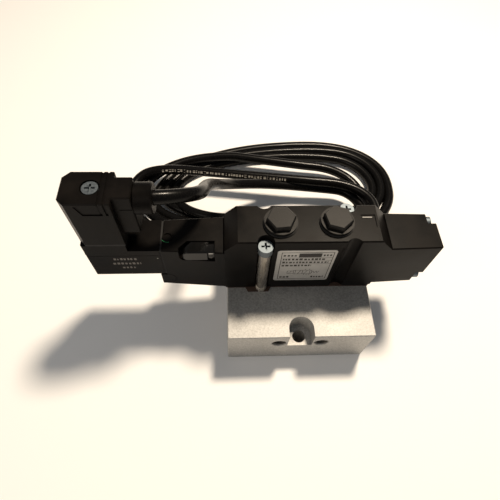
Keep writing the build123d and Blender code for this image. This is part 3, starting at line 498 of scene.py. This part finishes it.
def prism(bm, outline, depth):
    """Closed prism: outline points in metres, extruded by the vector depth."""
    lower = [bm.verts.new(p) for p in outline]
    upper = [bm.verts.new(Vector(p) + depth) for p in outline]
    bm.faces.new(lower)
    bm.faces.new(reversed(upper))
    n = len(outline)
    for i in range(n):
        bm.faces.new((lower[i], lower[(i + 1) % n], upper[(i + 1) % n], upper[i]))


# Thickness of the print, the most a mark's corner is cut by, and how far a stroke may rise
# from one end to the other and still count as level.
INK, CORNER_CUT, LEVEL = 0.03, 0.12, 0.05


def front_marks(name, rectangles, y, material, body=BODY):
    """Thin printed rectangles (x0, x1, z0, z1, lean) on a face looking towards -Y."""
    bm = bmesh.new()
    for x0, x1, z0, z1, lean in rectangles:
        cut = min(CORNER_CUT, (x1 - x0) / 4, (z1 - z0) / 4)
        flat = [
            (x0 + cut, z0), (x1 - cut, z0), (x1, z0 + cut), (x1, z1 - cut),
            (x1 - cut, z1), (x0 + cut, z1), (x0, z1 - cut), (x0, z0 + cut),
        ]
        outline = [Vector((x + lean * (z - z0), y, z)) * MM for x, z in flat]
        prism(bm, outline, Vector((0, -INK * MM, 0)))
    return mesh_piece(name, bm, material, body)


def row_of_marks(x, z, height, rng, mark=(0.7, 1.5), gap=(0.35, 0.7)):
    """Plain upright marks of uneven width, standing in for a line of print."""
    marks, at = [], x[0]
    while at < x[1]:
        width = rng.uniform(*mark)
        marks.append((at, min(at + width, x[1]), z, z + height * rng.uniform(0.75, 1.0), 0))
        at += width + rng.uniform(*gap)
    return marks


def stroke(a, b, width):
    """Thin line between two (x, z) points as one leaning or level rectangle."""
    (x0, z0), (x1, z1) = a, b
    if abs(z1 - z0) < LEVEL:
        return (min(x0, x1), max(x0, x1), z0 - width / 2, z0 + width / 2, 0)
    if z1 < z0:
        x0, z0, x1, z1 = x1, z1, x0, z0
    return (x0 - width / 2, x0 + width / 2, z0, z1, (x1 - x0) / (z1 - z0))


# ---------------------------------------------------------------- printed marks and painted highlights
LABEL_Y, SOLENOID_Y, OVERRIDE_Y = -9.8, -8.0, -8.4
FRAME_X, FRAME_Z = (-11.2, 11.6), (39.0, 63.4)
FRAME_LINE, RULE_LINE, SYMBOL_LINE, ARROW_LINE = 0.3, 0.16, 0.22, 0.2
BLACK_BAR = (-3.6, 6.4, 59.4, 62.6, 0)
RULES_Z = (58.9, 56.2, 53.5)
TEXT_HEIGHT = 1.5
TEXT_ROWS = (
    ((-10.4, -4.6), 60.2), ((7.2, 10.8), 60.2), ((-10.4, 8.4), 56.9), ((-10.4, 10.4), 54.2),
    ((-10.4, 3.0), 51.3), ((-10.4, -6.0), 40.2), ((4.5, 10.4), 40.2),
)
SYMBOL_Z, SOLENOID_BOX_Z = (43.8, 47.4), (44.4, 46.8)
SPRING_Z, SPRING_X, SPRING_STEP = (44.6, 46.6), 4.2, 0.7
rng = random.Random(11)


def outline_strokes(x, z, width):
    """Bottom, top, left and right strokes of an upright rectangle."""
    return [
        stroke((x[0], z[0]), (x[1], z[0]), width), stroke((x[0], z[1]), (x[1], z[1]), width),
        stroke((x[0], z[0]), (x[0], z[1]), width), stroke((x[1], z[0]), (x[1], z[1]), width),
    ]


def valve_symbol():
    """Generic 5/2 valve symbol: two boxes with flow lines, a solenoid, a spring, five ports."""
    low, high = SYMBOL_Z
    box_low, box_high = SOLENOID_BOX_Z
    lines = []
    for x in ((-4.2, 0.0), (0.0, 4.2)):
        lines += outline_strokes(x, SYMBOL_Z, SYMBOL_LINE)
    for bottom_x, top_x in ((-3.4, -3.4), (-2.2, -0.9), (0.8, 2.2), (3.4, 3.4)):
        lines.append(stroke((bottom_x, low), (top_x, high), ARROW_LINE))
    lines += [
        stroke((-7.2, box_low), (-4.2, box_low), SYMBOL_LINE),
        stroke((-7.2, box_high), (-4.2, box_high), SYMBOL_LINE),
        stroke((-7.2, box_low), (-7.2, box_high), SYMBOL_LINE),
        stroke((-6.6, box_low), (-5.0, box_high), ARROW_LINE),
    ]
    for k in range(5):
        x0, x1 = SPRING_X + SPRING_STEP * k, SPRING_X + SPRING_STEP * (k + 1)
        z0, z1 = SPRING_Z if k % 2 == 0 else reversed(SPRING_Z)
        lines.append(stroke((x0, z0), (x1, z1), ARROW_LINE))
    for x in (0.8, 2.1, 3.4):
        lines.append(stroke((x, 42.6), (x, low), ARROW_LINE))
    for x in (1.2, 3.0):
        lines.append(stroke((x, high), (x, 48.6), ARROW_LINE))
    return lines


def label_print():
    """Frame, plain bar, rules, rows of plain marks and the symbol on the label plate."""
    lines = outline_strokes(FRAME_X, FRAME_Z, FRAME_LINE) + [BLACK_BAR]
    for z in RULES_Z:
        lines.append(stroke((FRAME_X[0], z), (FRAME_X[1], z), RULE_LINE))
    for x, z in TEXT_ROWS:
        lines += row_of_marks(x, z, TEXT_HEIGHT, rng)
    front_marks("label_print", lines + valve_symbol(), LABEL_Y, DARK_INK)


label_print()

# Pale strips (x0, x1, y) painted as highlights on the lit edges of the pad's recess.
PAD_HIGHLIGHTS = ((23.3, 28.9, 4.35), (23.7, 27.9, 2.9))
PAD_Z, PAD_LINE = 70.95, 0.3


def pad_highlights():
    """Two light lines on the blank pad of the valve body's top: painted highlights standing for the lit
    edges of the pad's recess.
    """
    bm = bmesh.new()
    for x0, x1, y in PAD_HIGHLIGHTS:
        far_y = y + PAD_LINE
        outline = metres(((x0, y, PAD_Z), (x1, y, PAD_Z), (x1, far_y, PAD_Z), (x0, far_y, PAD_Z)))
        prism(bm, outline, Vector((0, 0, PAD_LINE * MM)))
    mesh_piece("pad_highlights", bm, PALE_INK_AND_HIGHLIGHT)


pad_highlights()

RIM_X, RIM_Y, RIM_Z = -60.6, -1.0, 63.2
RIM_MARK_R = (2.6, 2.85)
RIM_MARK_START, RIM_MARK_SPAN, RIM_MARK_STEPS = 215, 70, 9


def rim_mark():
    """Short green arc round the rim on the pilot adapter's top."""
    bm = bmesh.new()
    inner, outer = RIM_MARK_R
    for k in range(RIM_MARK_STEPS):
        turn = [math.radians(RIM_MARK_START + RIM_MARK_SPAN * (k + j) / RIM_MARK_STEPS) for j in (0, 1)]
        corners = ((inner, turn[0]), (outer, turn[0]), (outer, turn[1]), (inner, turn[1]))
        outline = metres((RIM_X + r * math.cos(a), RIM_Y + r * math.sin(a), RIM_Z) for r, a in corners)
        prism(bm, outline, Vector((0, 0, INK * MM)))
    mesh_piece("rim_mark", bm, GREEN_INK)


rim_mark()

SOLENOID_ROWS = (((-84.4, -74.0), 55.6), ((-85.4, -73.2), 51.8), ((-82.0, -76.4), 48.2))
SOLENOID_TEXT, SOLENOID_MARK, SOLENOID_GAP = 1.7, (0.6, 1.2), (0.4, 0.8)
solenoid_marks = []
for x, z in SOLENOID_ROWS:
    solenoid_marks += row_of_marks(x, z, SOLENOID_TEXT, rng, SOLENOID_MARK, SOLENOID_GAP)
front_marks("solenoid_print", solenoid_marks, SOLENOID_Y, GREY_INK)
front_marks("solenoid_dot", [(-65.4, -65.0, 56.6, 57.0, 0)], SOLENOID_Y, PALE_INK_AND_HIGHLIGHT)
# A pale bar near the top of the override plate's front and a grey bar lower down.
for name, mark, ink in (
    ("override_pale_bar", (-42.8, -40.9, 60.6, 61.3, 0), PALE_INK_AND_HIGHLIGHT),
    ("override_grey_bar", (-42.6, -41.3, 57.3, 57.7, 0), GREY_INK),
):
    front_marks(name, [mark], OVERRIDE_Y, ink, "override")


# ---------------------------------------------------------------- threads
THREAD_STEPS, THREAD_OVERLAP = 36, 0.02
THREAD_ROOT_HALF, THREAD_CREST_HALF = 0.42, 0.08


def sweep(bm, centres, frames, section):
    """Tube of the given cross-section (list of (a, b) offsets) along centres with frames."""
    rings = []
    for centre, (u, v) in zip(centres, frames):
        rings.append([bm.verts.new(centre + u * a + v * b) for a, b in section])
    n = len(section)
    for ring, after in zip(rings, rings[1:]):
        for i in range(n):
            bm.faces.new((ring[i], ring[(i + 1) % n], after[(i + 1) % n], after[i]))
    bm.faces.new(rings[0])
    bm.faces.new(reversed(rings[-1]))


def thread_piece(name, start, axis, radius, length, pitch, height, inward, material, slot):
    """Helical thread ridge standing on a cylinder, outside it or inside a bore."""
    axis = Vector(axis).normalized()
    side = axis.orthogonal().normalized()
    other = axis.cross(side)
    count = int(length / pitch * THREAD_STEPS)
    root, crest = radius - THREAD_OVERLAP, radius + height
    if inward:
        root, crest = radius + THREAD_OVERLAP, radius - height
    foot, top = THREAD_ROOT_HALF * pitch, THREAD_CREST_HALF * pitch
    section = [(root, -foot), (root, foot), (crest, top), (crest, -top)]
    centres, frames = [], []
    for k in range(count + 1):
        angle = 2 * math.pi * k / THREAD_STEPS
        out = side * math.cos(angle) + other * math.sin(angle)
        centres.append((Vector(start) + axis * pitch * (k / THREAD_STEPS + 0.5)) * MM)
        frames.append((out * MM, axis * MM))
    bm = bmesh.new()
    sweep(bm, centres, frames, section)
    mesh_piece(name, bm, material)


PORT_Z, PORT_R, PORT_INSET = 20.8, 3.5, 0.5
PORT_THREAD = (7.0, 1.0, 0.36)
SUPPLY_START, SUPPLY_R, SUPPLY_THREAD = (-34.9, 0, 9.0), 4.86, (8.6, 0.907, 0.4)
SLEEVE_FOOT, SLEEVE_R, SLEEVE_THREAD = 29.4, 2.68, (4.4, 0.6, 0.1)


def threads():
    """Threads in the five ports and on the feet of the clamp screws' sleeves."""
    # The port threads carry painted shade: their near-black colour stands for the shade inside the
    # ports.
    for name, x, face, inward in (
        ("outlet_thread_left", -10.3, -35.8, 1), ("outlet_thread_right", 10.3, -35.8, 1),
        ("exhaust_thread_left", -24.1, 24.2, -1), ("exhaust_thread_right", 24.1, 24.2, -1),
    ):
        start = (x, face + PORT_INSET * inward, PORT_Z)
        thread_piece(
            name, start, (0, inward, 0), PORT_R, *PORT_THREAD, True, SHADED_PORT_THREAD, "cast_aluminium"
        )
    thread_piece(
        "supply_thread", SUPPLY_START, (1, 0, 0), SUPPLY_R, *SUPPLY_THREAD, True,
        SHADED_PORT_THREAD, "cast_aluminium",
    )
    sleeve = MATERIALS["sleeve_steel"]
    for name, x, y in (("sleeve_thread_front", -18.6, -9.5), ("sleeve_thread_rear", 18.6, 9.5)):
        start = (x, y, SLEEVE_FOOT)
        thread_piece(name, start, (0, 0, 1), SLEEVE_R, *SLEEVE_THREAD, False, sleeve, "sleeve_steel")


threads()

# ---------------------------------------------------------------- print on the lead
# The printed stretch of the upper strand: its span along X, and how high and far back it lies.
PRINT_X, PRINT_LOWEST, PRINT_NEAREST = (-76.0, 4.0), 14.5, 70.0
PRINT_TILT, PRINT_SKIN = 0.95, 0.02
MARK_WIDTH, MARK_GAP = (0.6, 1.6), (0.3, 1.2)
MARK_LOW, MARK_HIGH = (-0.3, -0.2), (0.15, 0.3)


def lead_frames(line):
    """Along each point of a line: distance, point, direction, and the way up across it."""
    rows, distance = [], 0.0
    for i, point in enumerate(line):
        ahead = (line[min(i + 1, len(line) - 1)] - line[max(i - 1, 0)]).normalized()
        across = ahead.cross(Vector((0, 0, 1))).normalized()
        if i:
            distance += (point - line[i - 1]).length
        rows.append((distance, point, ahead, across.cross(ahead).normalized(), across))
    return rows


def on_lead(rows, along, angle):
    """Point of the lead's centre line at a distance along it, and the way out at an angle."""
    k = next(i for i, row in enumerate(rows) if row[0] >= along)
    before, after = rows[k - 1], rows[k]
    share = (along - before[0]) / (after[0] - before[0])
    return before[1].lerp(after[1], share), after[3] * math.cos(angle) + after[4] * math.sin(angle)


def printed_part(row):
    """True where a row of the lead's frames is on the printed stretch."""
    x, y, z = (c / MM for c in row[1])
    return z > PRINT_LOWEST and y > PRINT_NEAREST and PRINT_X[0] < x < PRINT_X[1]


def lead_print():
    """Small worn print marks along the upper strand, curved to the sheath."""
    rows = lead_frames(lead_line)
    stretch = [row[0] for row in rows if printed_part(row)]
    at, stop = stretch[0], stretch[-1]
    bm = bmesh.new()
    radius, skin = (CABLE_R + PRINT_SKIN) * MM, PRINT_SKIN * MM
    marks = random.Random(5)
    while at < stop:
        width = marks.uniform(*MARK_WIDTH) * MM
        low, high = marks.uniform(*MARK_LOW), marks.uniform(*MARK_HIGH)
        corners = ((at, low), (at + width, low), (at + width, high), (at, high))
        quad = [on_lead(rows, along, angle + PRINT_TILT) for along, angle in corners]
        prism(bm, [point + out * radius for point, out in quad], quad[0][1] * skin)
        at += width + marks.uniform(*MARK_GAP) * MM
    return mesh_piece("lead_print", bm, WORN_INK)


print_marks = lead_print()

# ---------------------------------------------------------------- floor and lights
FLOOR_HALF, FLOOR_Z = 3.0, -0.0002
FLOOR_COLOUR = (0.95, 0.94, 0.93, 1.0)
LIT_POINT = (0, 0, 0.03)
WORLD_COLOUR, WORLD_STRENGTH = (0.86, 0.93, 1.0, 1.0), 0.16


def white_floor():
    """Large plain table under the valve."""
    bm = bmesh.new()
    bmesh.ops.create_grid(bm, x_segments=1, y_segments=1, size=FLOOR_HALF)
    mesh = bpy.data.meshes.new("floor")
    bm.to_mesh(mesh)
    bm.free()
    table = Surface("table", 0.7, specular=0.2)
    table.shader.inputs["Base Color"].default_value = FLOOR_COLOUR
    mesh.materials.append(table.material)
    obj = bpy.data.objects.new("floor", mesh)
    obj.location = (0, 0, FLOOR_Z)
    bpy.context.scene.collection.objects.link(obj)
    return obj


def area_light(name, at, size, power, colour):
    """Round lamp aimed at the valve."""
    data = bpy.data.lights.new(name, "AREA")
    data.shape, data.size, data.energy, data.color = "DISK", size, power, colour
    light = bpy.data.objects.new(name, data)
    light.location = at
    light.rotation_euler = (Vector(LIT_POINT) - Vector(at)).to_track_quat("-Z", "Y").to_euler()
    bpy.context.scene.collection.objects.link(light)


def surroundings():
    """Dim, slightly blue light from all round, and plain colour handling."""
    world = bpy.data.worlds.new("studio")
    world.use_nodes = True
    background = world.node_tree.nodes["Background"]
    background.inputs["Color"].default_value = WORLD_COLOUR
    background.inputs["Strength"].default_value = WORLD_STRENGTH
    bpy.context.scene.world = world
    bpy.context.scene.view_settings.view_transform = "Standard"


floor = white_floor()
area_light("key", (0.17, 0.25, 0.72), 0.12, 7.5, (1.0, 0.86, 0.68))
area_light("fill", (-0.5, -0.5, 0.55), 0.6, 1.6, (1.0, 0.90, 0.78))
surroundings()
